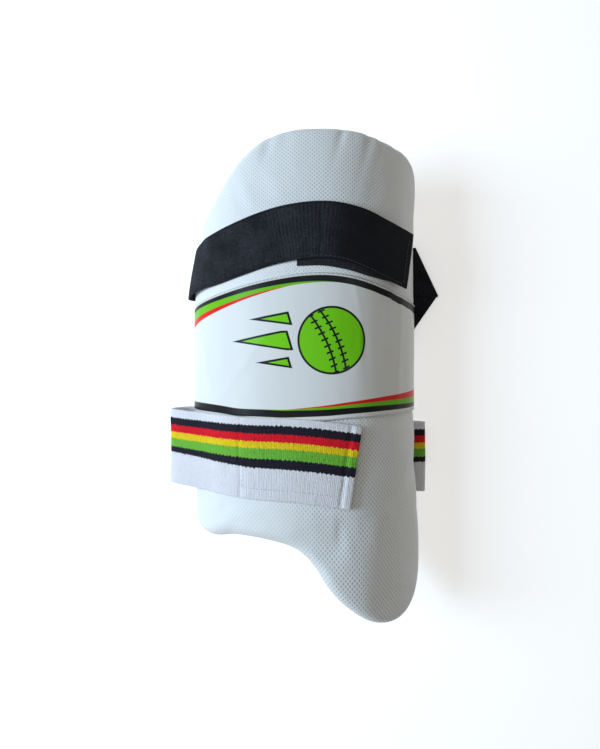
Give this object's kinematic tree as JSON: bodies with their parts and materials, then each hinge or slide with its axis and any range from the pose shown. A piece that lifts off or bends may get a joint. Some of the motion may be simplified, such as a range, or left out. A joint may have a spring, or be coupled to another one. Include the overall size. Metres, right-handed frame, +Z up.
{
  "type": "cricket thigh guard",
  "caption": "Curved padded thigh guard for cricket, open underneath for the leg, with a printed front panel and elastic straps that fasten over the front by hook and loop.",
  "frame": {"origin": "on the floor under the middle of the whole guard, straps included, as it lies on its back", "axes": "+Y along the guard towards its top edge, +X towards the outer side of the thigh, +Z up from the floor to the printed front"},
  "size_m": [0.2488, 0.4038, 0.0929],
  "materials": {
    "mesh_cover": "white air mesh cloth, matte, with rows of small holes",
    "printed_vinyl": "white glossy film with printed stripes in black, green and red",
    "loop_tape": "black brushed loop tape",
    "black_elastic": "black woven elastic with fine crosswise ribs",
    "hook_tape": "black hook tape",
    "knit_elastic": "white knitted elastic with stripes in black, red, yellow and green"
  },
  "bodies": {
    "root": {"guard_pad": "mesh_cover", "print_panel": "printed_vinyl", "loop_patch": "loop_tape", "upper_strap": "black_elastic", "upper_hook_tab": "hook_tape", "lower_strap": "knit_elastic", "lower_hook_tab": "hook_tape"}
  },
  "joints": []
}
